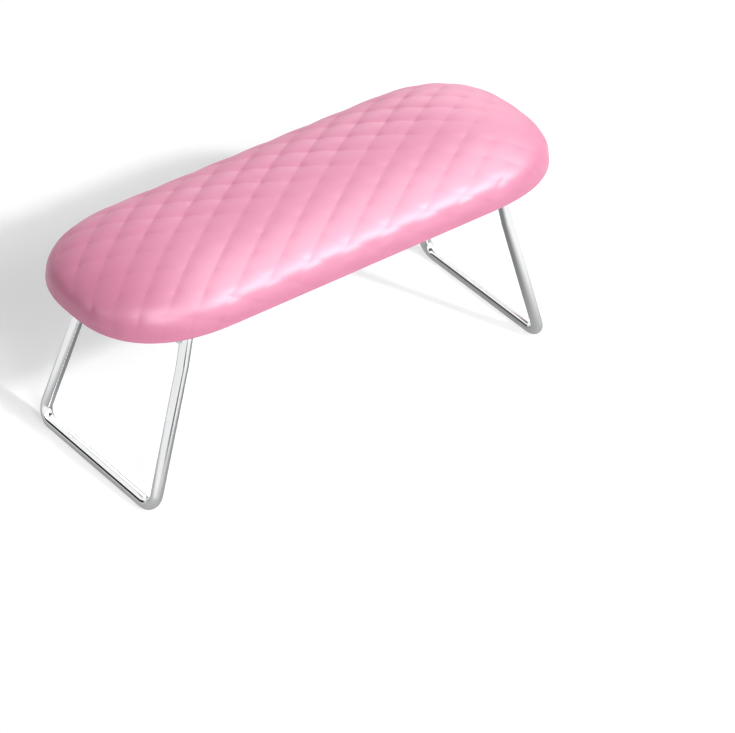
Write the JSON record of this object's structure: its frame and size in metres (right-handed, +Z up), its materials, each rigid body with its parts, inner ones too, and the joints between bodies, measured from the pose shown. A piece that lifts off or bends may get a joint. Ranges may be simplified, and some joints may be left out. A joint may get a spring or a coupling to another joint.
{
  "type": "manicure hand rest",
  "caption": "Padded armrest for nail care: a long quilted leatherette pad with rounded ends, on flared chromed rod legs that fold flat under it.",
  "frame": {"origin": "on the table, under the middle of the pad", "axes": "+X along the pad, +Y across it, +Z up; the legs are open"},
  "size_m": [0.34, 0.124, 0.1499],
  "materials": {
    "leatherette": "pink, soft gloss, diamond embossed",
    "foam": "open-cell foam",
    "fibreboard": "raw medium density fibreboard",
    "lining_cloth": "matt non-woven cloth",
    "chrome": "bright chrome plate",
    "zinc_plate": "bright zinc plate"
  },
  "bodies": {
    "pad": {"cover": "leatherette", "foam_pad": "foam", "base_board": "fibreboard", "bottom_lining": "lining_cloth", "left_front_bracket": "zinc_plate", "left_back_bracket": "zinc_plate", "right_front_bracket": "zinc_plate", "right_back_bracket": "zinc_plate", "bracket_screw_1": "zinc_plate", "bracket_screw_2": "zinc_plate", "bracket_screw_3": "zinc_plate", "bracket_screw_4": "zinc_plate", "bracket_screw_5": "zinc_plate", "bracket_screw_6": "zinc_plate", "bracket_screw_7": "zinc_plate", "bracket_screw_8": "zinc_plate"},
    "left_stand": {"left_leg": "chrome"},
    "right_stand": {"right_leg": "chrome"}
  },
  "joints": [
    {"name": "left_leg_fold", "type": "hinge", "parent": "pad", "child": "left_stand", "pos_m": [-0.11761, 0, 0.11735], "axis": [0, -1, 0], "range_deg": [0, 101]},
    {"name": "right_leg_fold", "type": "hinge", "parent": "pad", "child": "right_stand", "pos_m": [0.11761, 0, 0.11735], "axis": [0, 1, 0], "range_deg": [0, 97]}
  ]
}
